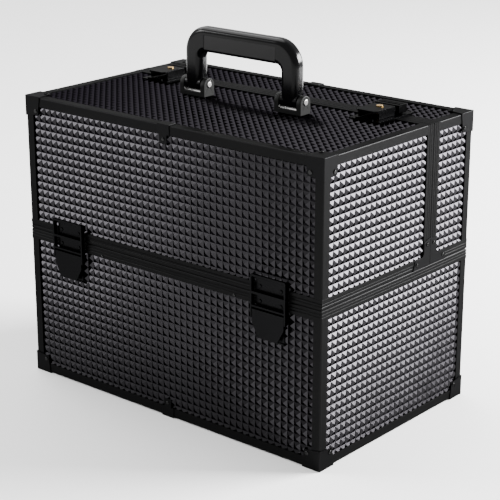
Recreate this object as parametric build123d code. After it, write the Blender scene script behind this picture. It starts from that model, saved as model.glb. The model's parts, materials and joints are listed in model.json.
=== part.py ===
from build123d import *
import os
from math import cos, radians, sin

# Makeup train case. Millimetres, +Z up, the front of the case faces -Y.
# The origin is the middle of the footprint, on the surface the case stands on.

# ---- driving dimensions -------------------------------------------------
CASE_WIDTH = 360.0          # over the metal corner caps, along X
CASE_DEPTH = 222.5          # over the metal corner caps, along Y
CASE_HEIGHT = 281.5         # body only, without the carrying handle
CAP_T = 0.8                 # thickness of the corner caps
SEAM_Z = 148.5              # parting plane between the lower box and the top
SEAM_Y = 48.25              # parting plane between the front lid and the rear flap
SEAM_GAP = 0.3              # gap left at each parting plane

TRIM_T = 2.4                # wall of the aluminium edge trims
TRIM_W = 9.0                # face width of the edge trims
RIM_W = 9.6                 # face width of the trims along the parting planes
RIM_WEB = 1.5               # web of the rim trims over the panel's edge
BOARD_IN = 2.5              # from the trims' outer face to the board
BOARD_T = 4.0               # panel board
SKIN_T = 2.5                # textured plastic skin, up to the tips of its pyramids
FIT = 0.1                   # gap round the skins and inner fittings

# faces of the three shells, at the trims' outer surfaces
X1 = CASE_WIDTH / 2 - CAP_T
X0 = -X1
Y0 = -CASE_DEPTH / 2 + CAP_T
Y1 = -Y0
Z0 = CAP_T
Z1 = CASE_HEIGHT - CAP_T
Z_LOW = SEAM_Z - SEAM_GAP / 2
Z_UP = SEAM_Z + SEAM_GAP / 2
Y_LID = SEAM_Y - SEAM_GAP / 2
Y_FLAP = SEAM_Y + SEAM_GAP / 2
BOARD_END = BOARD_IN + BOARD_T          # depth of the boards' inner faces
INNER_X = X1 - BOARD_END                # half the clear width inside

# corner caps, rivets, joint clips
CAP_LEG = 19.0
CAP_WAIST = 16.8
RIVET_R = 2.1
RIVET_H = 0.9
CAP_RIVET = 13.6            # from the corner to each cap's rivet
CLIP_W = 14.5               # clip over the joint in the middle of a long trim
CLIP_DROP = 17.5
PLATE_LEG = 26.0            # corner plates beside the vertical parting plane
PLATE_W = 9.6
PLATE_T = 0.7
SMALL_RIVET_R = 1.7
BAND_RIVET_X = 82.0         # small rivets in the lower rim trim's front
BAND_RIVET_R = 1.5
BAND_RIVET_UP = 1.6         # above the rim trim's lower edge

# hinge behind the case
HINGE_Y = Y1 + 4.05
PIN_R = 1.6
KNUCKLE_R = 3.1
LEAF_T = 1.2
LEAF_H = 22.0
LEAF_HALF = 150.0
KNUCKLE_COUNT = 15
RUN_FIT = 0.05              # radial clearance of every turning pin
ARM_X = 162.0               # knuckles of the lid's pivot arms
ARM_KNUCKLE = 4.0
LEAF_RIVET_IN = 6.5         # row of rivets, from each leaf's free edge
LEAF_RIVETS = [-135.0, -81.0, -27.0, 27.0, 81.0, 135.0]
LID_ARM_LOW = 1.2           # lid arms, above the parting plane
LID_ARM_HIGH = 8.8
LID_ARM_T = 1.9
LID_ARM_REACH = 62.0        # along the lid's side wall

# latches, measured from the parting plane and from the trims' outer face:
# half width, reach up and down, foot of the base, lever pivot, overall height,
# plate thickness, pivot height, lug and pin radii, lever thickness, taper of the lever's end
FRONT_LATCH_X = 124.0
TOP_LATCH_X = 128.0
FRONT_LATCH = dict(
    half=19.6, up=18.4, down=38.7, foot=40.2, pivot=14.4, height=5.0,
    plate_t=1.0, pivot_h=2.3, lug_r=1.0, pin_r=0.6, lever_t=1.2, taper=(7.0, 12.5))
TOP_LATCH = dict(
    half=13.5, up=12.0, down=33.7, foot=35.5, pivot=5.0, height=10.3,
    plate_t=1.6, pivot_h=6.8, lug_r=1.4, pin_r=0.8, lever_t=1.6, taper=(3.0, 3.0))
PLATE_GAP = 0.35            # from each latch plate to the parting plane
RAIL_T = 1.6                # side rails of the links, cheeks of the levers
RAIL_END_R = 1.6
SIDE_GAP = 0.4              # sideways gap between link, lever and base
LEVER_TOP = 1.1             # lever's end beyond its pivot
LEVER_SUNK = 0.3            # lever's face below the rails' tops
LINK_DOWN = 4.5             # front link's pivot below the lever's
LINK_H = 2.9                # front link's pivot above the trims
LINK_PIN_R = 0.6
FRONT_RAIL_LOW = 0.8        # underside of the front rails
FRONT_BAR_LOW = 2.6         # underside of the front cross bars
BAR_HALF = 1.1
MIDDLE_BAR = 1.8            # cross bar just beyond the parting plane
LIP_IN = 4.0                # strike lip, inside the link's far end
TOP_PLATE_HALF = 17.0
TOP_PLATE_BACK = 5.5        # rear plate, beyond the hasp's far end
HASP_IN = 2.0               # hasp pivot, inside the hasp's far end
HASP_H = 4.0                # hasp pivot above the trims
HASP_PIN_R = 1.2
HASP_FRONT = 1.2            # hasp's overhang in front of the parting plane
TOP_RAIL_LOW = 2.1
TOP_BAR_LOW = 5.6
KEY_R = 3.1
KEY_DOWN = 7.0              # key cylinder, in front of the lever's pivot
LATCH_RIVET_R = 1.9

# carrying handle
HANDLE_Y = -1.9
HANDLE_HALF = 67.9
HANDLE_TOP = 347.6
GRIP_H = 24.0               # height of the grip
GRIP_D = 14.0               # depth of the handle
LEG_W = 19.6
EDGE_R = 5.4                # rounding of the handle's edges
BEND_OUT_R = 25.0
BEND_IN_R = 6.0
PANEL_HALF = 43.0           # insert in the grip's face
PIVOT_UP = 11.5             # handle pivot above the case's top trims
EAR_GAP = 20.6
EAR_T = 5.2
EAR_TOP = 17.3
BRACKET_D = 14.4
BRACKET_BAR = 4.2
HANDLE_PIN_R = 2.0

# cantilever trays
TRAY_HALF = 167.0
TRAY_Y0 = HINGE_Y - 207.0
TRAY_Y1 = HINGE_Y - 40.0
TRAY_Z = SEAM_Z + 4.5
TRAY_H = 42.0
TRAY_STEP = 45.0
TRAY_WALL = 2.4
ARM_ANGLE = 40.0            # tray arms above the horizontal, case closed
ARM_T = 2.0
ARM_W = 10.0
ARM_X0 = 168.0
STUB_R = 2.0
TRAY_PIVOT_UP = 20.5        # tray pivots above each tray's underside
TRAY_PIVOT_Y = HINGE_Y - 188.0
ARM_SPACING = 45.0
DIVIDER_T = 1.6

# inner fittings
PAD_T = 3.0
PAD_GAP = 0.5
MIRROR_HALF = 106.5
MIRROR_Y0 = -80.5
MIRROR_Y1 = 26.5
MIRROR_T = 2.6
MIRROR_FRAME_W = 5.4
MIRROR_FRAME_T = 3.4
BRUSH_PAD_HALF = 140.0
BRUSH_PAD_LOW = 58.0        # above the parting plane
BRUSH_PAD_HIGH = 100.0
BRUSH_PAD_T = 1.0
BRUSH_LOOPS = 11
BRUSH_PITCH = 25.0
BRUSH_LOOP_W = 20.0
BRUSH_LOOP_H = 26.0
BRUSH_LOOP_T = 1.4
BRUSH_LOOP_UP = 8.0         # above the pad's lower edge

NODES = {}


def prism(points, axis, low, high):
    """A closed outline in the plane across an axis, extruded from low to high."""
    planes = {
        "X": Plane(origin=(low, 0, 0), x_dir=(0, 1, 0), z_dir=(1, 0, 0)),
        "Y": Plane(origin=(0, high, 0), x_dir=(1, 0, 0), z_dir=(0, -1, 0)),
        "Z": Plane(origin=(0, 0, low), x_dir=(1, 0, 0), z_dir=(0, 0, 1)),
    }
    face = planes[axis] * make_face(Polyline(*points, close=True))
    return extrude(face, amount=high - low)


def block(x0, x1, y0, y1, z0, z1):
    """A box between two corners."""
    size = Box(abs(x1 - x0), abs(y1 - y0), abs(z1 - z0))
    return Pos((x0 + x1) / 2, (y0 + y1) / 2, (z0 + z1) / 2) * size


def rod(radius, axis, centre, low, high):
    """A round bar along an axis; centre gives its two other coordinates."""
    bar = Cylinder(radius, high - low)
    a, b = centre
    middle = (low + high) / 2
    if axis == "X":
        return Pos(middle, a, b) * Rot(0, 90, 0) * bar
    if axis == "Y":
        return Pos(a, middle, b) * Rot(90, 0, 0) * bar
    return Pos(a, b, middle) * bar


def keep(name, solids):
    """File one node's solids under its name."""
    NODES[name] = solids if isinstance(solids, list) else [solids]


def both_sides(solid):
    """The piece and its mirror image across the middle of the case."""
    return [solid, mirror(solid, Plane.YZ)]


def cut_by(solid, origin, normal):
    """Keep the part of the solid on the side that the normal points to."""
    side = Plane(origin=origin, z_dir=normal)
    return split(solid, bisect_by=side, keep=Keep.TOP)


# ---- trims ---------------------------------------------------------------
def l_section(corner_a, sign_a, corner_b, sign_b):
    """Edge trim: two legs that meet in a softened outer corner."""
    soft = 1.0
    pairs = [
        (soft, 0), (TRIM_W, 0), (TRIM_W, TRIM_T), (TRIM_T, TRIM_T),
        (TRIM_T, TRIM_W), (0, TRIM_W), (0, soft), (0.3 * soft, 0.3 * soft),
    ]
    return [(corner_a + sign_a * a, corner_b + sign_b * b) for a, b in pairs]


def rim_section(face, sign_in, seam, sign_away):
    """Rim trim: a grooved outer leg and a web over the panel's edge."""
    soft = 0.7
    groove = 0.45
    steps = (0.34 * RIM_W, 0.62 * RIM_W)
    pairs = [(soft, 0), (BOARD_END, 0), (BOARD_END, RIM_WEB), (TRIM_T, RIM_WEB)]
    pairs += [(TRIM_T, RIM_W), (0, RIM_W)]
    for place in reversed(steps):
        pairs += [(0, place + groove), (groove, place), (0, place - groove)]
    pairs.append((0, soft))
    return [(face + sign_in * a, seam + sign_away * b) for a, b in pairs]


def plan_mitre(solid, x_face, y_face, sign_x, sign_y, toward_x):
    """Cut a rail's end at 45 degrees in plan, at one corner of the case."""
    if toward_x:
        normal = (sign_x, -sign_y, 0)
    else:
        normal = (-sign_x, sign_y, 0)
    return cut_by(solid, (x_face, y_face, 0), normal)


def long_rail(section, y_face, sign_y):
    """A rail along X with both ends mitred."""
    rail = prism(section, "X", X0, X1)
    rail = plan_mitre(rail, X0, y_face, 1, sign_y, True)
    return plan_mitre(rail, X1, y_face, -1, sign_y, True)


def side_rail(section, y_low, y_high, mitres):
    """A rail along Y on the +X side, mitred where it meets a long rail."""
    rail = prism(section, "Y", y_low, y_high)
    for y_face, sign_y in mitres:
        rail = plan_mitre(rail, X1, y_face, -1, sign_y, False)
    return rail


def lower_shell():
    """The open lower box: boards, skins and trims."""
    inner = BOARD_END
    floor = block(X0 + BOARD_IN, X1 - BOARD_IN, Y0 + BOARD_IN, Y1 - BOARD_IN,
                  Z0 + BOARD_IN, Z0 + inner)
    wall_z = (Z0 + inner, Z_LOW - RIM_WEB)
    front = block(X0 + BOARD_IN, X1 - BOARD_IN, Y0 + BOARD_IN, Y0 + inner, *wall_z)
    back = block(X0 + BOARD_IN, X1 - BOARD_IN, Y1 - inner, Y1 - BOARD_IN, *wall_z)
    side = block(X1 - inner, X1 - BOARD_IN, Y0 + inner, Y1 - inner, *wall_z)
    keep("lower_boards", [front, back] + both_sides(side))
    keep("base_board", floor)

    low, high = Z0 + TRIM_W + FIT, Z_LOW - RIM_W - FIT
    edge = TRIM_W + FIT
    front = block(X0 + edge, X1 - edge, Y0, Y0 + SKIN_T, low, high)
    side = block(X1 - SKIN_T, X1, Y0 + edge, Y1 - edge, low, high)
    keep("lower_front_skin", front)
    keep("lower_back_skin", mirror(front, Plane.XZ))
    keep("lower_side_skins", both_sides(side))

    rails = [
        long_rail(l_section(Y0, 1, Z0, 1), Y0, 1),
        long_rail(l_section(Y1, -1, Z0, 1), Y1, -1),
    ]
    rails += both_sides(
        side_rail(l_section(X1, -1, Z0, 1), Y0, Y1, [(Y0, 1), (Y1, -1)]))
    for y_face, sign_y in ((Y0, 1), (Y1, -1)):
        section = l_section(X1, -1, y_face, sign_y)
        rails += both_sides(prism(section, "Z", Z0 + TRIM_W, Z_LOW - RIM_W))
    keep("lower_edge_trims", rails)

    rims = [
        long_rail(rim_section(Y0, 1, Z_LOW, -1), Y0, 1),
        long_rail(rim_section(Y1, -1, Z_LOW, -1), Y1, -1),
    ]
    rims += both_sides(
        side_rail(rim_section(X1, -1, Z_LOW, -1), Y0, Y1, [(Y0, 1), (Y1, -1)]))
    keep("lower_rim_trims", rims)


def seam_ring(y_seam, sign_away):
    """The three-sided trim round a vertical parting plane: two posts and a bar."""
    post = prism(rim_section(X1, -1, y_seam, sign_away), "Z", Z_UP, Z1)
    post = cut_by(post, (X1, y_seam, Z1), (1, 0, -1))
    bar_points = [(b, a) for a, b in rim_section(Z1, -1, y_seam, sign_away)]
    bar = prism(bar_points, "X", X0, X1)
    bar = cut_by(bar, (X1, y_seam, Z1), (-1, 0, 1))
    bar = cut_by(bar, (X0, y_seam, Z1), (1, 0, 1))
    return both_sides(post) + [bar]


def upper_shell(prefix, y_face, y_seam, face_name):
    """The front lid or the rear flap: a box open below and at the seam."""
    away = 1 if y_face > y_seam else -1         # from the seam to the closed face
    y_post = y_seam + away * RIM_W
    y_web = y_seam + away * RIM_WEB
    y_back = y_face - away * BOARD_END
    top_z = (Z1 - BOARD_END, Z1 - BOARD_IN)
    wall_z = (Z_UP + RIM_WEB, Z1 - BOARD_END)
    top = block(X0 + BOARD_IN, X1 - BOARD_IN, y_web, y_face - away * BOARD_IN, *top_z)
    face = block(X0 + BOARD_IN, X1 - BOARD_IN, y_back, y_face - away * BOARD_IN, *wall_z)
    side = block(X1 - BOARD_END, X1 - BOARD_IN, y_web, y_back, *wall_z)
    boards = [face, top] + both_sides(side)

    edge = TRIM_W + FIT
    low, high = Z_UP + RIM_W + FIT, Z1 - edge
    y_near, y_far = y_post + away * FIT, y_face - away * edge
    keep(prefix + face_name, block(X0 + edge, X1 - edge, y_face, y_face - away * SKIN_T, low, high))
    keep(prefix + "_top_skin", block(X0 + edge, X1 - edge, y_near, y_far, Z1 - SKIN_T, Z1))
    keep(prefix + "_side_skins", both_sides(block(X1 - SKIN_T, X1, y_near, y_far, low, high)))

    trims = [long_rail(l_section(y_face, -away, Z1, -1), y_face, -away)]
    y_range = sorted((y_face, y_post))
    trims += both_sides(side_rail(l_section(X1, -1, Z1, -1), *y_range, [(y_face, -away)]))
    section = l_section(X1, -1, y_face, -away)
    trims += both_sides(prism(section, "Z", Z_UP + RIM_W, Z1 - TRIM_W))
    keep(prefix + "_edge_trims", trims)

    rims = [long_rail(rim_section(y_face, -away, Z_UP, 1), y_face, -away)]
    rims += both_sides(side_rail(rim_section(X1, -1, Z_UP, 1), *y_range, [(y_face, -away)]))
    ring = seam_ring(y_seam, away)
    return boards, rims, ring


# ---- metal fittings --------------------------------------------------------
def corner_cap():
    """A three-sided cap for the corner at the origin, body towards +X +Y +Z."""
    outline = [
        (-CAP_T, -CAP_T), (CAP_LEG, -CAP_T), (CAP_LEG - 1.5, TRIM_W),
        (CAP_WAIST, CAP_WAIST), (TRIM_W, CAP_LEG - 1.5), (-CAP_T, CAP_LEG),
    ]
    cap = prism(outline, "Z", -CAP_T, 0)
    cap += prism(outline, "X", -CAP_T, 0)
    cap += prism(outline, "Y", -CAP_T, 0)
    corner = Vector(-CAP_T, -CAP_T, -CAP_T)
    sharp = [e for e in cap.edges() if (e @ 0 - corner).length < 0.01 or (e @ 1 - corner).length < 0.01]
    return fillet(sharp, CAP_T * 0.9)


def place_corner(piece, x_side, y_side, z_side):
    """Put a piece made for the origin's corner at one corner of the case."""
    solid = Pos(X0, Y0, Z0) * piece
    if x_side > 0:
        solid = mirror(solid, Plane.YZ)
    if y_side > 0:
        solid = mirror(solid, Plane.XZ)
    if z_side > 0:
        solid = mirror(solid, Plane(origin=(0, 0, (Z0 + Z1) / 2), z_dir=(0, 0, 1)))
    return solid


def rivet(axis, sign, centre, level, radius=RIVET_R):
    """A domed rivet head on a surface; sign is the side that it faces."""
    low, high = sorted((level, level + sign * RIVET_H))
    head = rod(radius, axis, centre, low, high)
    outer = head.edges().sort_by(Axis((0, 0, 0), {"X": (1, 0, 0), "Y": (0, 1, 0), "Z": (0, 0, 1)}[axis]))
    rim = outer[-1] if sign > 0 else outer[0]
    return fillet(rim, RIVET_H * 0.75)


def cap_rivets(z_side, y_side):
    """The three rivets of each cap at the two corners on one long edge."""
    at = CAP_RIVET
    pieces = [
        rivet("Z", -1, (X0 + at, Y0 + at), Z0 - CAP_T),
        rivet("Y", -1, (X0 + at, Z0 + at), Y0 - CAP_T),
        rivet("X", -1, (Y0 + at, Z0 + at), X0 - CAP_T),
    ]
    if z_side < 0:
        pieces = pieces[1:]         # the underside caps stand flat on the floor
    placed = []
    for piece in pieces:
        moved = Pos(-X0, -Y0, -Z0) * piece
        placed += [place_corner(moved, side, y_side, z_side) for side in (-1, 1)]
    return placed


def seam_plate(away):
    """An L-shaped plate on the +X side where the two parting planes meet."""
    y = Y_FLAP if away > 0 else Y_LID
    cut = 3.0
    local = [
        (0, 0), (PLATE_LEG, 0), (PLATE_LEG - cut, PLATE_W), (PLATE_W + cut, PLATE_W),
        (PLATE_W, PLATE_W + cut), (PLATE_W, PLATE_LEG - cut), (0, PLATE_LEG),
    ]
    outline = [(y + away * a, Z_UP + b) for a, b in local]
    return prism(outline, "X", X1, X1 + PLATE_T)


def seam_plate_rivets(away):
    y = Y_FLAP if away > 0 else Y_LID
    far, near = PLATE_LEG - 5.5, PLATE_W / 2
    places = [(y + away * far, Z_UP + near), (y + away * near, Z_UP + far)]
    pieces = []
    for centre in places:
        pieces += both_sides(rivet("X", 1, centre, X1 + PLATE_T, SMALL_RIVET_R))
    return pieces


def edge_clip(y_face, sign_out, z_face, sign_up):
    """A thin clip bent round the middle of a long edge trim, with one tab."""
    x0, x1 = -CLIP_W / 2, CLIP_W / 2
    y_out, z_out = y_face + sign_out * PLATE_T, z_face + sign_up * PLATE_T
    y_in, z_in = y_face - sign_out * TRIM_W, z_face - sign_up * TRIM_W
    leg = block(x0, x1, y_face, y_out, z_in, z_out)
    leg += block(x0, x1, y_in, y_face, z_face, z_out)
    tab = block(-4.2, 4.2, y_face, y_out, z_face - sign_up * CLIP_DROP, z_in)
    return leg + tab


def clip_rivet(y_face, sign_out, z_face, sign_up):
    centre = (0, z_face - sign_up * (CLIP_DROP - 4.2))
    return rivet("Y", sign_out, centre, y_face + sign_out * PLATE_T, SMALL_RIVET_R)


def band_rivets():
    """Two small rivets in the front of the lower box's rim trim."""
    z = Z_LOW - RIM_W + BAND_RIVET_UP
    return [rivet("Y", -1, (side * BAND_RIVET_X, z), Y0, BAND_RIVET_R) for side in (-1, 1)]


# ---- rear hinge ------------------------------------------------------------
def hinge():
    """A long pin hinge: two leaves behind the case and the pin that joins them."""
    pitch = 2 * LEAF_HALF / KNUCKLE_COUNT
    gap = 0.15
    bore = PIN_R + RUN_FIT
    y_leaf = (Y1, Y1 + LEAF_T)
    for name, sign in (("hinge_lower_leaf", -1), ("hinge_upper_leaf", 1)):
        z_low, z_high = sorted((SEAM_Z + sign * (KNUCKLE_R + 0.25), SEAM_Z + sign * LEAF_H))
        leaf = block(-LEAF_HALF, LEAF_HALF, *y_leaf, z_low, z_high)
        for index in range(KNUCKLE_COUNT):
            lower_turn = index % 2 == 0
            if lower_turn != (sign < 0):
                continue
            x0 = -LEAF_HALF + index * pitch + gap
            x1 = x0 + pitch - 2 * gap
            knuckle = rod(KNUCKLE_R, "X", (HINGE_Y, SEAM_Z), x0, x1)
            strap_y = Y1 + 0.35
            strap = block(x0, x1, strap_y, strap_y + LEAF_T, SEAM_Z, SEAM_Z + sign * (KNUCKLE_R + 1.25))
            leaf += knuckle + strap
        leaf -= rod(bore, "X", (HINGE_Y, SEAM_Z), -LEAF_HALF - 1, LEAF_HALF + 1)
        keep(name, leaf)
    end = ARM_X + ARM_KNUCKLE + 2.0
    pin = rod(PIN_R, "X", (HINGE_Y, SEAM_Z), -end, end)
    pin += rod(KNUCKLE_R, "X", (HINGE_Y, SEAM_Z), end, end + 1.5)
    pin += rod(KNUCKLE_R, "X", (HINGE_Y, SEAM_Z), -end - 1.5, -end)
    keep("hinge_pin", pin)


def hinge_rivets(sign):
    """The row of rivets in one hinge leaf."""
    z = SEAM_Z + sign * (LEAF_H - LEAF_RIVET_IN)
    return [rivet("Y", 1, (x, z), Y1 + LEAF_T, SMALL_RIVET_R) for x in LEAF_RIVETS]


def lid_arm():
    """Flat arm that hangs the front lid's side on the rear hinge pin."""
    z0, z1 = SEAM_Z + LID_ARM_LOW, SEAM_Z + LID_ARM_HIGH
    half = LID_ARM_T + 0.1
    x_in, x_wall = INNER_X - LID_ARM_T, INNER_X
    y_end = Y1 - BOARD_END - 0.7
    y_bend = y_end - LID_ARM_T
    arm = block(ARM_X - half, ARM_X + half, y_bend, HINGE_Y, z0, z1)
    arm += block(ARM_X - half, x_wall - FIT, y_bend, y_end, z0, z1)
    arm += block(x_in, x_wall - FIT, Y_LID, y_end, z0, z1)
    arm += block(x_in, x_wall, Y_LID - LID_ARM_REACH, Y_LID, z0 + 0.8, z1 + 1.0)
    arm += rod(KNUCKLE_R, "X", (HINGE_Y, SEAM_Z), ARM_X - ARM_KNUCKLE, ARM_X + ARM_KNUCKLE)
    arm += block(ARM_X - half, ARM_X + half, HINGE_Y - 2.6, HINGE_Y, SEAM_Z, z1)
    bore = rod(PIN_R + RUN_FIT, "X", (HINGE_Y, SEAM_Z), ARM_X - 2 * ARM_KNUCKLE, ARM_X + 2 * ARM_KNUCKLE)
    return arm - bore


def arm_slot():
    """Room for a lid arm through the flap's rear wall."""
    return block(ARM_X - 4.6, ARM_X + 4.6, Y1 - BOARD_END - 1, Y1 + 1, Z_UP - 1, Z_UP + RIM_W)


# ---- latches ---------------------------------------------------------------
def latch_widths(latch):
    """Half widths between the rails, over the lever and over the lugs."""
    inside = latch["half"] - RAIL_T
    lever = inside - SIDE_GAP
    return inside, lever, lever - RAIL_T - SIDE_GAP


def latch_base(latch, plate):
    """Base plate with a raised foot and two lugs with the lever's pin."""
    _, lever, lugs = latch_widths(latch)
    foot, thick = latch["foot"], latch["plate_t"]
    y, z, lug_r = -latch["pivot"], latch["pivot_h"], latch["lug_r"]
    base = block(-plate, plate, -foot, -PLATE_GAP, 0, thick)
    base += block(-lugs, lugs, -foot, -foot + 1.2, 0, 2 * thick)
    lug = block(lugs - RAIL_T, lugs, y - lug_r, y + lug_r, 0, z)
    lug += rod(lug_r, "X", (y, z), lugs - RAIL_T, lugs)
    for piece in both_sides(lug):
        base += piece
    return base + rod(latch["pin_r"], "X", (y, z), -lever, lever)


def latch_lever(latch, stubs):
    """Lever with a tapered free end; stubs on its cheeks may carry a link."""
    _, edge, _ = latch_widths(latch)
    y, z, down = -latch["pivot"], latch["pivot_h"], latch["down"]
    cut_x, cut_y = latch["taper"]
    top = y + LEVER_TOP
    shoulder = -down + cut_y
    outline = [
        (-edge, top), (edge, top), (edge, shoulder),
        (edge - cut_x, -down), (-edge + cut_x, -down), (-edge, shoulder),
    ]
    face = latch["height"] - LEVER_SUNK
    lever = prism(outline, "Z", face - latch["lever_t"], face)
    inner, low = edge - RAIL_T, latch["plate_t"] + 0.3
    cheek = block(inner, edge, shoulder + 2, y, low, face - 0.5)
    cheek += rod(min(z - latch["plate_t"] - 0.1, 2.0), "X", (y, z), inner, edge)
    cheek += block(inner, edge, y, top, z, face - 0.5)
    if stubs:
        cheek += rod(LINK_PIN_R, "X", (y - LINK_DOWN, LINK_H), edge - 0.5, latch["half"] - 0.2)
    for piece in both_sides(cheek):
        lever += piece
    return lever - rod(latch["pin_r"] + RUN_FIT, "X", (y, z), -latch["half"], latch["half"])


def ladder(latch, ends, lows, bars, pin, turning_end):
    """Side rails and cross bars; one lower end of the rails is rounded to turn on its pin."""
    half, height = latch["half"], latch["height"]
    rail_low, bar_low = lows
    rail = block(half - RAIL_T, half, *ends, rail_low, height)
    lower = rail.edges().filter_by(Axis.X).group_by(Axis.Z)[0].sort_by(Axis.Y)
    rail = fillet(lower[turning_end], RAIL_END_R)
    left, right = both_sides(rail)
    link = left + right
    for y0, y1 in bars:
        link += block(-half, half, y0, y1, bar_low, height)
    centre, radius = pin
    link -= rod(radius + RUN_FIT, "X", centre, -half - 1, half + 1)
    corners = [e for e in link.edges().filter_by(Axis.Z) if abs(e.center().X) > half - 0.01]
    return fillet(ShapeList(corners).group_by(Axis.Y)[-1], 1.4)


def latch_rivets(latch, y):
    """The two rivets in a latch plate."""
    x = latch_widths(latch)[2] - 4.0
    return both_sides(rivet("Z", 1, (x, y), latch["plate_t"], LATCH_RIVET_R))


def lip_strike(latch, plate):
    """Strike plate with a raised, rolled lip for the link's bar."""
    lip, top = latch["up"] - LIP_IN, FRONT_BAR_LOW - 0.4
    strike = block(-plate, plate, PLATE_GAP, lip + 0.6, 0, latch["plate_t"])
    strike += block(-plate, plate, lip - 0.6, lip + 0.6, 0, top)
    return strike + rod(0.8, "X", (lip, top - 0.8), -plate, plate)


def hasp_strike(latch, plate):
    """Rear plate with a barrel that the hasp turns on."""
    pivot, half = latch["up"] - HASP_IN, latch["half"]
    strike = block(-plate, plate, PLATE_GAP, latch["up"] + TOP_PLATE_BACK, 0, latch["plate_t"])
    strike += block(-half + 4, half - 4, pivot - 0.6, pivot + 0.6, 0, HASP_H)
    return strike + rod(HASP_PIN_R, "X", (pivot, HASP_H), -half + 0.2, half - 0.2)


def key_cylinder(latch):
    """A round key cylinder with its slot, along local Z in the lever."""
    y, top = -latch["pivot"] - KEY_DOWN, latch["height"] + 0.4
    plug = rod(KEY_R, "Z", (0, y), 3.2, top)
    return plug - block(-0.45, 0.45, y - 2.0, y + 2.0, top - 1.2, top + 1)


def front_latches():
    """Draw latches: a lever on the lower box pulls a link over the lid's strike."""
    up, pivot = FRONT_LATCH["up"], FRONT_LATCH["pivot"]
    plate = latch_widths(FRONT_LATCH)[2] + 0.3
    bars = [
        (up - 1.9, up), (MIDDLE_BAR - BAR_HALF, MIDDLE_BAR + BAR_HALF), (-pivot + 3.1, -pivot + 4.7)]
    pin = ((-pivot - LINK_DOWN, LINK_H), LINK_PIN_R)
    ends = (-pivot - LINK_DOWN - 2.0, up)
    link = ladder(FRONT_LATCH, ends, (FRONT_RAIL_LOW, FRONT_BAR_LOW), bars, pin, 0)
    lever = latch_lever(FRONT_LATCH, True)
    strike = [lip_strike(FRONT_LATCH, plate)] + latch_rivets(FRONT_LATCH, up * 0.42)
    base = [latch_base(FRONT_LATCH, plate)] + latch_rivets(FRONT_LATCH, -pivot * 0.42)
    strikes, bases = [], []
    for side, name in ((-1, "left"), (1, "right")):
        place = Plane(origin=(side * FRONT_LATCH_X, Y0, SEAM_Z), x_dir=(1, 0, 0), z_dir=(0, -1, 0))
        strikes += [place * s for s in strike]
        bases += [place * s for s in base]
        keep("front_latch_lever_" + name, place * lever)
        keep("front_latch_link_" + name, place * link)
    keep("front_latch_strikes", strikes)
    keep("front_latch_bases", bases)


def top_latches():
    """Key latches: a hasp on the rear flap meets a lever with a key cylinder on the lid."""
    up, pivot = TOP_LATCH["up"], TOP_LATCH["pivot"]
    bars = [(up - 3.5, up - 0.2), (up - 7.4, up - 5.4), (-HASP_FRONT, MIDDLE_BAR)]
    pin = ((up - HASP_IN, HASP_H), HASP_PIN_R)
    hasp = ladder(TOP_LATCH, (-HASP_FRONT, up), (TOP_RAIL_LOW, TOP_BAR_LOW), bars, pin, -1)
    hole = rod(KEY_R + RUN_FIT, "Z", (0, -pivot - KEY_DOWN), 0, TOP_LATCH["height"] + 1)
    lever = latch_lever(TOP_LATCH, False) - hole
    strike = hasp_strike(TOP_LATCH, TOP_PLATE_HALF)
    base = latch_base(TOP_LATCH, TOP_PLATE_HALF)
    strikes, bases = [], []
    for side, name in ((-1, "left"), (1, "right")):
        place = Pos(side * TOP_LATCH_X, SEAM_Y, Z1)
        strikes.append(place * strike)
        bases.append(place * base)
        keep("top_latch_lever_" + name, place * lever)
        keep("top_latch_hasp_" + name, place * hasp)
        keep("key_cylinder_" + name, place * key_cylinder(TOP_LATCH))
    keep("top_latch_strikes", strikes)
    keep("top_latch_bases", bases)


# ---- carrying handle --------------------------------------------------------
def handle_bow(pivot_z):
    """An arch with softened edges whose legs end round the pivots."""
    x_out, x_in = HANDLE_HALF, HANDLE_HALF - LEG_W
    under = HANDLE_TOP - GRIP_H
    y_front, y_back = HANDLE_Y - GRIP_D / 2, HANDLE_Y + GRIP_D / 2
    outer = prism(
        [(-x_out, pivot_z), (x_out, pivot_z), (x_out, HANDLE_TOP), (-x_out, HANDLE_TOP)],
        "Y", y_front, y_back)
    bends = outer.edges().filter_by(Axis.Y).group_by(Axis.Z)[-1]
    outer = fillet(bends, BEND_OUT_R)
    inner = prism(
        [(-x_in, pivot_z - 1), (x_in, pivot_z - 1), (x_in, under), (-x_in, under)],
        "Y", y_front - 1, y_back + 1)
    bends = inner.edges().filter_by(Axis.Y).group_by(Axis.Z)[-1]
    bow = outer - fillet(bends, BEND_IN_R)
    front_back = [
        e for e in bow.edges()
        if min(abs(e.center().Y - y_front), abs(e.center().Y - y_back)) < 0.01
        and e.center().Z > pivot_z + 0.5]
    bow = fillet(front_back, EDGE_R)
    leg_x = HANDLE_HALF - LEG_W / 2
    for side in (-1, 1):
        x0, x1 = side * leg_x - LEG_W / 2 + 0.4, side * leg_x + LEG_W / 2 - 0.4
        bow += rod(GRIP_D / 2, "X", (HANDLE_Y, pivot_z), x0, x1)
    return bow - rod(HANDLE_PIN_R + RUN_FIT, "X", (HANDLE_Y, pivot_z), -HANDLE_HALF - 5, HANDLE_HALF + 5)


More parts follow.
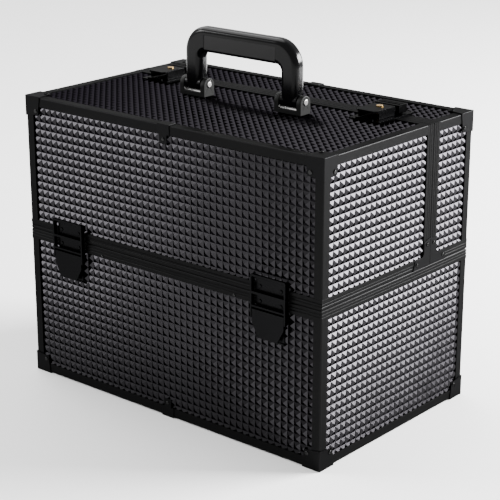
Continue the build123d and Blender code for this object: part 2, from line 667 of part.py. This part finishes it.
def handle_bracket(centre, pivot_z):
    """A bracket with two arched ears, open in front above a low bar."""
    half = EAR_GAP / 2 + EAR_T
    y0, y1 = HANDLE_Y - BRACKET_D / 2, HANDLE_Y + BRACKET_D / 2
    bracket = block(centre - half, centre + half, y0, y1, Z1, Z1 + 1.6)
    bracket += block(centre - half, centre + half, y0, y0 + 2.0, Z1, Z1 + BRACKET_BAR)
    arch_r = BRACKET_D / 2
    for ear in (-1, 1):
        inner, outer = sorted((centre + ear * EAR_GAP / 2, centre + ear * half))
        bracket += block(inner, outer, y0, y1, Z1, Z1 + EAR_TOP - arch_r)
        bracket += rod(arch_r, "X", (HANDLE_Y, Z1 + EAR_TOP - arch_r), inner, outer)
    bore = rod(HANDLE_PIN_R + RUN_FIT, "X", (HANDLE_Y, pivot_z), centre - half - 1, centre + half + 1)
    return bracket - bore


def handle_pin(centre, pivot_z):
    """A pivot pin with a domed head on either side of its bracket."""
    half = EAR_GAP / 2 + EAR_T
    pin = rod(HANDLE_PIN_R, "X", (HANDLE_Y, pivot_z), centre - half, centre + half)
    for side in (-1, 1):
        pin += rivet("X", side, (HANDLE_Y, pivot_z), centre + side * half, HANDLE_PIN_R + 0.9)
    return pin


def handle():
    """File the handle with its insert and brackets; return its pivot pins."""
    pivot_z = Z1 + PIVOT_UP
    leg_x = HANDLE_HALF - LEG_W / 2
    face_y = HANDLE_Y - GRIP_D / 2
    z_low, z_high = HANDLE_TOP - GRIP_H + 3.2, HANDLE_TOP - 7.5
    sunk = 0.9
    pocket = block(-PANEL_HALF, PANEL_HALF, face_y - 1, face_y + sunk, z_low, z_high)
    insert = block(
        -PANEL_HALF + FIT, PANEL_HALF - FIT, face_y + 0.3, face_y + sunk, z_low + FIT, z_high - FIT)
    keep("handle_bow", handle_bow(pivot_z) - pocket)
    keep("handle_grip_insert", insert)
    keep("handle_brackets", [handle_bracket(side * leg_x, pivot_z) for side in (-1, 1)])
    return [handle_pin(side * leg_x, pivot_z) for side in (-1, 1)]


# ---- trays -------------------------------------------------------------------
ARM_LENGTH = TRAY_STEP / sin(radians(ARM_ANGLE))
ARM_RUN = ARM_LENGTH * cos(radians(ARM_ANGLE))
UPPER_PIVOT_Z = TRAY_Z + TRAY_STEP + TRAY_PIVOT_UP


def arm_points(shift):
    """Upper tray pivot, lower tray pivot and box pivot of one arm, as (y, z)."""
    y = TRAY_PIVOT_Y + shift
    return [(y + n * ARM_RUN, UPPER_PIVOT_Z - n * TRAY_STEP) for n in range(3)]


def tray(name, z_low, pivot_row):
    """An open tray with its four pivot stubs, and its loose dividers."""
    w = TRAY_WALL
    shell = block(-TRAY_HALF, TRAY_HALF, TRAY_Y0, TRAY_Y1, z_low, z_low + TRAY_H)
    shell -= block(-TRAY_HALF + w, TRAY_HALF - w, TRAY_Y0 + w, TRAY_Y1 - w, z_low + w, z_low + TRAY_H + 1)
    for shift in (0, ARM_SPACING):
        centre = arm_points(shift)[pivot_row]
        for side in (-1, 1):
            low, high = sorted((side * TRAY_HALF, side * (ARM_X0 + ARM_T + 0.4)))
            shell += rod(STUB_R, "X", centre, low, high)
    keep(name, shell)

    z0, z1 = z_low + w, z_low + TRAY_H - 4.0
    y_mid = (TRAY_Y0 + TRAY_Y1) / 2
    half_t = DIVIDER_T / 2
    long_divider = block(-TRAY_HALF + w + FIT, TRAY_HALF - w - FIT, y_mid - half_t, y_mid + half_t, z0, z1)
    dividers = [long_divider]
    for x in (-TRAY_HALF / 3, TRAY_HALF / 3):
        dividers.append(block(x - half_t, x + half_t, TRAY_Y0 + w + FIT, y_mid - half_t, z0, z1))
        dividers.append(block(x - half_t, x + half_t, y_mid + half_t, TRAY_Y1 - w - FIT, z0, z1))
    keep(name + "_dividers", dividers)


def tray_arms(name, shift):
    """A pair of straps, one each side, that carries both trays."""
    points = arm_points(shift)
    x0, x1 = ARM_X0, ARM_X0 + ARM_T
    (ya, za), (yb, zb) = points[0], points[2]
    across = (sin(radians(ARM_ANGLE)) * ARM_W / 2, cos(radians(ARM_ANGLE)) * ARM_W / 2)
    outline = [
        (ya + across[0], za + across[1]), (yb + across[0], zb + across[1]),
        (yb - across[0], zb - across[1]), (ya - across[0], za - across[1]),
    ]
    strap = prism(outline, "X", x0, x1)
    for centre in (points[0], points[2]):
        strap += rod(ARM_W / 2, "X", centre, x0, x1)
    for centre in points:
        strap -= rod(STUB_R + RUN_FIT, "X", centre, x0 - 1, x1 + 1)
    keep(name, both_sides(strap))


def arm_brackets():
    """Plates on the lower box's side walls with the pivots of the tray arms."""
    front, rear = arm_points(0)[2], arm_points(ARM_SPACING)[2]
    plate = block(INNER_X - 1.6, INNER_X, front[0] - 10, rear[0] + 10, front[1] - 9, front[1] + 9)
    for centre in (front, rear):
        plate += rod(STUB_R, "X", centre, ARM_X0 - 0.5, INNER_X - 1.0)
    keep("tray_arm_brackets", both_sides(plate))


# ---- inner fittings ------------------------------------------------------------
def linings():
    """The floor pad, the lid's mirror and the flap's band of brush loops."""
    x_pad = INNER_X - PAD_GAP
    y_pad = Y1 - BOARD_END - PAD_GAP
    z_floor = Z0 + BOARD_END
    keep("base_pad", block(-x_pad, x_pad, -y_pad, y_pad, z_floor, z_floor + PAD_T))

    z_top = Z1 - BOARD_END
    keep("mirror_frame", mirror_frame(z_top))
    keep("mirror_glass", block(-MIRROR_HALF, MIRROR_HALF, MIRROR_Y0, MIRROR_Y1, z_top - MIRROR_T, z_top))

    y_wall = Y1 - BOARD_END
    y_pad_face = y_wall - BRUSH_PAD_T
    z0, z1 = SEAM_Z + BRUSH_PAD_LOW, SEAM_Z + BRUSH_PAD_HIGH
    z_loop = z0 + BRUSH_LOOP_UP
    band = [block(-BRUSH_PAD_HALF, BRUSH_PAD_HALF, y_pad_face, y_wall, z0, z1)]
    for index in range(BRUSH_LOOPS):
        x = (index - BRUSH_LOOPS // 2) * BRUSH_PITCH
        x0, x1 = x - BRUSH_LOOP_W / 2, x + BRUSH_LOOP_W / 2
        band.append(block(x0, x1, y_pad_face - BRUSH_LOOP_T, y_pad_face, z_loop, z_loop + BRUSH_LOOP_H))
    keep("brush_band", band)


def mirror_frame(z_top):
    """A thin frame round the mirror, in four bars."""
    x_in = MIRROR_HALF + FIT
    x_out = x_in + MIRROR_FRAME_W
    y0, y1 = MIRROR_Y0 - FIT, MIRROR_Y1 + FIT
    low = z_top - MIRROR_FRAME_T
    bars = [
        block(-x_out, x_out, y0 - MIRROR_FRAME_W, y0, low, z_top),
        block(-x_out, x_out, y1, y1 + MIRROR_FRAME_W, low, z_top),
    ]
    return bars + both_sides(block(x_in, x_out, y0, y1, low, z_top))


# ---- assembly --------------------------------------------------------------------
def main():
    lower_shell()
    lid_boards, lid_rims, lid_ring = upper_shell("lid", Y0, Y_LID, "_front_skin")
    flap_boards, flap_rims, flap_ring = upper_shell("flap", Y1, Y_FLAP, "_back_skin")
    slots = both_sides(arm_slot())
    for slot in slots:
        flap_boards[0] -= slot
        flap_rims[0] -= slot
    keep("lid_boards", lid_boards)
    keep("lid_rim_trims", lid_rims + lid_ring)
    keep("flap_boards", flap_boards)
    keep("flap_rim_trims", flap_rims + flap_ring)

    cap = corner_cap()
    keep("base_corner_caps", [place_corner(cap, x, y, -1) for x in (-1, 1) for y in (-1, 1)])
    keep("lid_corner_caps", [place_corner(cap, x, -1, 1) for x in (-1, 1)])
    keep("flap_corner_caps", [place_corner(cap, x, 1, 1) for x in (-1, 1)])
    keep("base_joint_plates", [edge_clip(Y0, -1, Z0, -1), edge_clip(Y1, 1, Z0, -1)])
    keep("lid_joint_plates", both_sides(seam_plate(-1)) + [edge_clip(Y0, -1, Z1, 1)])
    keep("flap_joint_plates", both_sides(seam_plate(1)) + [edge_clip(Y1, 1, Z1, 1)])

    keep("lower_rivets", cap_rivets(-1, -1) + cap_rivets(-1, 1) + hinge_rivets(-1)
         + [clip_rivet(Y0, -1, Z0, -1), clip_rivet(Y1, 1, Z0, -1)] + band_rivets())
    handle_pins = handle()
    keep("lid_rivets", cap_rivets(1, -1) + seam_plate_rivets(-1) + handle_pins
         + [clip_rivet(Y0, -1, Z1, 1)])
    keep("flap_rivets", cap_rivets(1, 1) + seam_plate_rivets(1) + hinge_rivets(1)
         + [clip_rivet(Y1, 1, Z1, 1)])

    hinge()
    keep("lid_arms", both_sides(lid_arm()))
    front_latches()
    top_latches()
    tray("lower_tray", TRAY_Z, 1)
    tray("upper_tray", TRAY_Z + TRAY_STEP, 0)
    tray_arms("tray_arms_front", 0)
    tray_arms("tray_arms_rear", ARM_SPACING)
    arm_brackets()
    linings()

    os.makedirs("parts", exist_ok=True)
    for name, solids in NODES.items():
        flat = [s for item in solids for s in item.solids()]
        export_step(Compound(children=flat) if len(flat) > 1 else flat[0], f"parts/{name}.step")
    print(len(NODES), "nodes")


main()
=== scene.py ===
import json
import math

import bmesh
import bpy
from mathutils import Matrix, Vector


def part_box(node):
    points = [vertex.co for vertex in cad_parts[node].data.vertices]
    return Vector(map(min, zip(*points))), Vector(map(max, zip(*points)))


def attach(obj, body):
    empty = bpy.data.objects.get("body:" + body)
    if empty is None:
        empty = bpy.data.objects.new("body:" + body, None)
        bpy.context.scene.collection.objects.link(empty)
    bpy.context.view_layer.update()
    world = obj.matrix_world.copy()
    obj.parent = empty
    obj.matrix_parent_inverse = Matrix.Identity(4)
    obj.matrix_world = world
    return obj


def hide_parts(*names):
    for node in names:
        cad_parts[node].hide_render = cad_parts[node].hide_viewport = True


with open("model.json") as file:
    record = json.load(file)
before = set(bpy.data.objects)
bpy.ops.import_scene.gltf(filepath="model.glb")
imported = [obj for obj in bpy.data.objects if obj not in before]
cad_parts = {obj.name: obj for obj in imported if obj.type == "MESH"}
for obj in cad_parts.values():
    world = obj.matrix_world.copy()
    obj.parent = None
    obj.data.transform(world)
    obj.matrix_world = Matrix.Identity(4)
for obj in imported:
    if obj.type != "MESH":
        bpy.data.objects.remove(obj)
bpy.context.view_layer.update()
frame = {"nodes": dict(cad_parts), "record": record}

NODES = frame["nodes"]
MM = 0.001

# ---- pyramid texture of the panels ---------------------------------------
PITCH = 7.42 * MM           # one pyramid
RELIEF = 1.80 * MM          # tip above valley
TIP = 0.05                  # blunt tip, as a share of the pitch
VALLEY = 0.02               # flat valley between pyramids, as a share of the pitch
SIDE_SKIN_T = 2.5 * MM      # one side's sheet, in the nodes that hold both sides

# ---- surfaces ------------------------------------------------------------------
GRAIN_DEPTH = 0.0004
SMUDGE_SCALE = 22.0
SMUDGE_NOISE = (0.3, 0.7)   # the part of the noise's range that is used
WELD = 0.02 * MM
SOFTEN_OVER = 32.0          # only edges sharper than this many degrees are softened

# ---- bare metal on two nodes, above the brackets' underside -------------------
BRACKET_FLOOR_UP = 2.0 * MM
HANDLE_PINS_UP = 7.0 * MM

# ---- stage, in metres from the middle of the case's footprint --------------------
FLOOR_HALF = 12.0
WORLD_STRENGTH = 0.90
SUN_FROM = (-0.60, 0.08, 0.80)
SUN_STRENGTH = 4.2
SUN_ANGLE = 56.0
AIM = (0, 0, 0.16)
EYE = (0.9247, -1.0805, 0.6112)
EYE_AZIMUTH = 40.36
EYE_ELEVATION = 18.47
LENS = 112.44


# ---- materials ---------------------------------------------------------------
def material(name, color, roughness, metallic=0.0, specular=0.5, grain=0.0, grain_scale=400.0,
             smudge=0.0, sheen=0.0, edge=1.0):
    """A procedural surface: fine grain in the relief, slow smudges in the gloss.

    edge is the tint of reflections at a grazing angle.
    """
    mat = bpy.data.materials.new(name)
    mat.use_nodes = True
    tree = mat.node_tree
    shader = tree.nodes["Principled BSDF"]
    shader.inputs["Base Color"].default_value = (*color, 1)
    shader.inputs["Roughness"].default_value = roughness
    shader.inputs["Metallic"].default_value = metallic
    shader.inputs["Specular IOR Level"].default_value = specular
    shader.inputs["Sheen Weight"].default_value = sheen
    shader.inputs["Specular Tint"].default_value = (edge, edge, edge, 1)
    if not (grain or smudge):
        return mat
    place = tree.nodes.new("ShaderNodeTexCoord")
    if grain:
        noise = tree.nodes.new("ShaderNodeTexNoise")
        noise.inputs["Scale"].default_value = grain_scale
        noise.inputs["Detail"].default_value = 3.0
        bump = tree.nodes.new("ShaderNodeBump")
        bump.inputs["Strength"].default_value = grain
        bump.inputs["Distance"].default_value = GRAIN_DEPTH
        tree.links.new(place.outputs["Object"], noise.inputs["Vector"])
        tree.links.new(noise.outputs["Fac"], bump.inputs["Height"])
        tree.links.new(bump.outputs["Normal"], shader.inputs["Normal"])
    if smudge:
        cloud = tree.nodes.new("ShaderNodeTexNoise")
        cloud.inputs["Scale"].default_value = SMUDGE_SCALE
        cloud.inputs["Detail"].default_value = 5.0
        spread = tree.nodes.new("ShaderNodeMapRange")
        spread.inputs["From Min"].default_value = SMUDGE_NOISE[0]
        spread.inputs["From Max"].default_value = SMUDGE_NOISE[1]
        spread.inputs["To Min"].default_value = max(roughness - smudge, 0.02)
        spread.inputs["To Max"].default_value = roughness + smudge
        tree.links.new(place.outputs["Object"], cloud.inputs["Vector"])
        tree.links.new(cloud.outputs["Fac"], spread.inputs["Value"])
        tree.links.new(spread.outputs["Result"], shader.inputs["Roughness"])
    return mat


SKIN = material("pyramid_skin", (0.0172, 0.0165, 0.0180), 0.20, metallic=1.0, smudge=0.03, edge=0.31)
TRIM = material("edge_trim", (0.0068, 0.0068, 0.0069), 0.40, metallic=1.0, grain=0.03,
                smudge=0.04, edge=0.50)
CORNER = material("corner_metal", (0.0068, 0.0068, 0.0070), 0.36, metallic=1.0, grain=0.03,
                  smudge=0.04, edge=0.50)
RIVET = material("rivet_metal", (0.020, 0.020, 0.020), 0.20, metallic=1.0, edge=0.3)
LATCH = material("latch_metal", (0.0066, 0.0066, 0.0069), 0.28, metallic=1.0, grain=0.03,
                 smudge=0.04, edge=0.45)
HINGE = material("hinge_metal", (0.012, 0.012, 0.012), 0.35, metallic=1.0, smudge=0.05, edge=0.2)
STEEL = material("steel_arm", (0.42, 0.42, 0.43), 0.34, metallic=1.0, smudge=0.08)
BRACKET = material("bracket_plastic", (0.0060, 0.0062, 0.0060), 0.50, specular=0.09, grain=0.05)
HANDLE = material("handle_gloss", (0.0010, 0.0010, 0.0012), 0.17, specular=0.11)
INSERT = material("handle_insert", (0.0020, 0.0018, 0.0022), 0.36, specular=0.20)
NICKEL = material("bracket_floor", (0.55, 0.54, 0.53), 0.30, metallic=1.0)
BRASS = material("key_brass", (0.80, 0.50, 0.16), 0.22, metallic=1.0)
BOARD = material("panel_board", (0.012, 0.012, 0.0125), 0.85, specular=0.2, grain=0.35, grain_scale=900.0)
FABRIC = material("lining_fabric", (0.014, 0.014, 0.015), 0.95, specular=0.1, grain=0.5,
                  grain_scale=1400.0, sheen=0.35)
TRAY = material("tray_plastic", (0.0085, 0.0085, 0.0090), 0.50, specular=0.22, grain=0.15, grain_scale=700.0)
DIVIDER = material("divider_plastic", (0.014, 0.014, 0.0147), 0.5, specular=0.25, grain=0.1)
GLASS = material("mirror_glass", (0.92, 0.93, 0.94), 0.01, metallic=1.0)
FRAME = material("mirror_frame", (0.014, 0.014, 0.014), 0.4)

SLOT_MATERIALS = {
    "pyramid_skin": SKIN, "edge_trim": TRIM, "corner_metal": CORNER, "rivet_metal": RIVET,
    "latch_metal": LATCH, "hinge_metal": HINGE, "steel_arm": STEEL, "bracket_plastic": BRACKET,
    "handle_gloss": HANDLE, "handle_insert": INSERT, "key_brass": BRASS, "panel_board": BOARD,
    "lining_fabric": FABRIC, "tray_plastic": TRAY, "divider_plastic": DIVIDER,
    "mirror_glass": GLASS, "mirror_frame": FRAME,
}


def paint_nodes():
    """Every CAD node gets its slot's surface, and the slots in soften get slightly softened edges."""
    soften = {
        "edge_trim": 0.30, "corner_metal": 0.22, "latch_metal": 0.28, "bracket_plastic": 0.45,
        "hinge_metal": 0.2, "tray_plastic": 0.5, "divider_plastic": 0.3, "steel_arm": 0.25,
        "mirror_frame": 0.5, "handle_insert": 0.15,
    }
    for part in frame["record"]["subparts"]:
        node = NODES[part["node"]]
        node.data.materials.clear()
        node.data.materials.append(SLOT_MATERIALS[part["material_slot"]])
        width = soften.get(part["material_slot"])
        if width:
            weld = node.modifiers.new("weld", "WELD")
            weld.merge_threshold = WELD
            bevel = node.modifiers.new("bevel", "BEVEL")
            bevel.width = width * MM
            bevel.segments = 2
            bevel.limit_method = "ANGLE"
            bevel.angle_limit = math.radians(SOFTEN_OVER)
            bevel.use_clamp_overlap = True
            bevel.harden_normals = False


def bare_metal():
    """The brackets' floors, under the handle's feet, and the handle's pins are bare metal."""
    floors = NODES["handle_brackets"]
    floors.data.materials.append(NICKEL)
    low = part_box("handle_brackets")[0][2]
    for face in floors.data.polygons:
        if face.normal.z > 0.9 and face.center.z < low + BRACKET_FLOOR_UP:
            face.material_index = 1
    pins = NODES["lid_rivets"]
    pins.data.materials.append(NICKEL)
    for face in pins.data.polygons:
        if face.center.z > low + HANDLE_PINS_UP:
            face.material_index = 1


# ---- pyramid sheets -------------------------------------------------------------
def sheet_mesh(width, height, thickness):
    """A closed sheet in local XY, its back at z=0, covered with square pyramids up to z=thickness."""
    mesh = bmesh.new()
    valley = thickness - RELIEF
    columns = math.ceil(width / PITCH)
    rows = math.ceil(height / PITCH)
    foot = PITCH * (1 - VALLEY) / 2
    tip = PITCH * TIP / 2
    grid = {}

    def at(x, y, z):
        key = (round(x, 8), round(y, 8), round(z, 8))
        if key not in grid:
            grid[key] = mesh.verts.new((x, y, z))
        return grid[key]

    def square(cx, cy, half, z):
        return [at(cx + sx * half, cy + sy * half, z) for sx, sy in ((-1, -1), (1, -1), (1, 1), (-1, 1))]

    for column in range(columns):
        for row in range(rows):
            cx = (column + 0.5) * PITCH - width / 2
            cy = height / 2 - (row + 0.5) * PITCH
            cell = square(cx, cy, PITCH / 2, valley)
            base = square(cx, cy, foot, valley)
            top = square(cx, cy, tip, thickness)
            for k in range(4):
                n = (k + 1) % 4
                mesh.faces.new((cell[k], cell[n], base[n], base[k]))
                mesh.faces.new((base[k], base[n], top[n], top[k]))
            mesh.faces.new(top)
    for place, normal in (((width / 2, 0, 0), (1, 0, 0)), ((0, -height / 2, 0), (0, -1, 0))):
        everything = mesh.verts[:] + mesh.edges[:] + mesh.faces[:]
        bmesh.ops.bisect_plane(mesh, geom=everything, plane_co=place, plane_no=normal, clear_outer=True)
    rim = [e for e in mesh.edges if e.is_boundary]
    wall = bmesh.ops.extrude_edge_only(mesh, edges=rim)["geom"]
    for vert in (g for g in wall if isinstance(g, bmesh.types.BMVert)):
        vert.co.z = 0
    back = [e for e in mesh.edges if e.is_boundary]
    bmesh.ops.edgeloop_fill(mesh, edges=back)
    bmesh.ops.recalc_face_normals(mesh, faces=mesh.faces[:])
    return mesh


def skin_sheet(name, low, high, facing):
    """The mesh for one flat panel between two corners; facing is the outward axis."""
    size = [b - a for a, b in zip(low, high)]
    middle = [(a + b) / 2 for a, b in zip(low, high)]
    turn = {
        "+X": Matrix(((0, 0, 1), (1, 0, 0), (0, 1, 0))), "-X": Matrix(((0, 0, -1), (-1, 0, 0), (0, 1, 0))),
        "+Y": Matrix(((-1, 0, 0), (0, 0, 1), (0, 1, 0))), "-Y": Matrix(((1, 0, 0), (0, 0, -1), (0, 1, 0))),
        "+Z": Matrix(((1, 0, 0), (0, 1, 0), (0, 0, 1))),
    }[facing]
    across = {"X": (size[1], size[2], size[0]), "Y": (size[0], size[2], size[1]), "Z": size}[facing[1]]
    mesh = sheet_mesh(*across)
    origin = Vector(middle) - turn @ Vector((0, 0, across[2] / 2))
    bmesh.ops.transform(mesh, matrix=Matrix.Translation(origin) @ turn.to_4x4(), verts=mesh.verts[:])
    data = bpy.data.meshes.new(name)
    mesh.to_mesh(data)
    mesh.free()
    piece = bpy.data.objects.new(name, data)
    bpy.context.scene.collection.objects.link(piece)
    data.materials.append(SKIN)
    return piece


def pyramid_skins():
    """Pyramid sheets in place of the plain skin plates."""
    single = {
        "lower_front_skin": ("-Y", "base"), "lower_back_skin": ("+Y", "base"),
        "lid_front_skin": ("-Y", "lid"), "lid_top_skin": ("+Z", "lid"),
        "flap_back_skin": ("+Y", "flap"), "flap_top_skin": ("+Z", "flap"),
    }
    for node, (facing, body) in single.items():
        low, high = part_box(node)
        piece = skin_sheet(node + "_pyramids", low, high, facing)
        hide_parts(node)
        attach(piece, body)
    for node, body in (("lower_side_skins", "base"), ("lid_side_skins", "lid"), ("flap_side_skins", "flap")):
        low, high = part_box(node)
        inner = (high[0] - SIDE_SKIN_T, low[1], low[2])
        right = skin_sheet(node + "_pyramids_right", inner, high, "+X")
        inner = (low[0] + SIDE_SKIN_T, high[1], high[2])
        left = skin_sheet(node + "_pyramids_left", low, inner, "-X")
        for piece in (right, left):
            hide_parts(node)
            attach(piece, body)


# ---- stage ---------------------------------------------------------------------
def area_light(name, place, size, power):
    """A rectangular lamp turned to the middle of the case."""
    data = bpy.data.lights.new(name, "AREA")
    data.shape = "RECTANGLE"
    data.size, data.size_y = size
    data.energy = power
    lamp = bpy.data.objects.new(name, data)
    lamp.location = place
    lamp.rotation_euler = (Vector(AIM) - Vector(place)).to_track_quat("-Z", "Y").to_euler()
    bpy.context.scene.collection.objects.link(lamp)


def studio():
    """A wide pale floor, an even sky, one large soft sun and two rectangular lamps."""
    floor_data = bpy.data.meshes.new("floor")
    far = FLOOR_HALF
    corners = [(-far, -far, 0), (far, -far, 0), (far, far, 0), (-far, far, 0)]
    floor_data.from_pydata(corners, [], [(0, 1, 2, 3)])
    floor = bpy.data.objects.new("floor", floor_data)
    bpy.context.scene.collection.objects.link(floor)
    pale = material("floor_paper", (0.90, 0.90, 0.90), 0.9, specular=0.1)
    floor_data.materials.append(pale)

    world = bpy.data.worlds.new("studio")
    world.use_nodes = True
    world.node_tree.nodes["Background"].inputs["Color"].default_value = (1, 1, 1, 1)
    world.node_tree.nodes["Background"].inputs["Strength"].default_value = WORLD_STRENGTH
    bpy.context.scene.world = world

    sun = bpy.data.lights.new("soft_top", "SUN")
    sun.energy = SUN_STRENGTH
    sun.angle = math.radians(SUN_ANGLE)
    lamp = bpy.data.objects.new("soft_top", sun)
    lamp.rotation_euler = Vector(SUN_FROM).to_track_quat("Z", "Y").to_euler()
    bpy.context.scene.collection.objects.link(lamp)

    area_light("back_right", (1.45, 1.70, 0.95), (1.4, 0.75), 400)
    area_light("front_left", (-1.93, -1.42, 1.16), (0.7, 0.7), 32)


def camera():
    """The eye stands high in front of the case's right corner."""
    azimuth, elevation = math.radians(EYE_AZIMUTH), math.radians(EYE_ELEVATION)
    data = bpy.data.cameras.new("camera")
    data.sensor_width = 36.0
    data.lens = LENS
    data.clip_end = 60
    eye = bpy.data.objects.new("camera", data)
    eye.location = EYE
    level = math.cos(elevation)
    back = Vector((math.sin(azimuth) * level, -math.cos(azimuth) * level, math.sin(elevation)))
    eye.rotation_euler = back.to_track_quat("Z", "Y").to_euler()
    bpy.context.scene.collection.objects.link(eye)
    bpy.context.scene.camera = eye


paint_nodes()
bare_metal()
pyramid_skins()
studio()
camera()
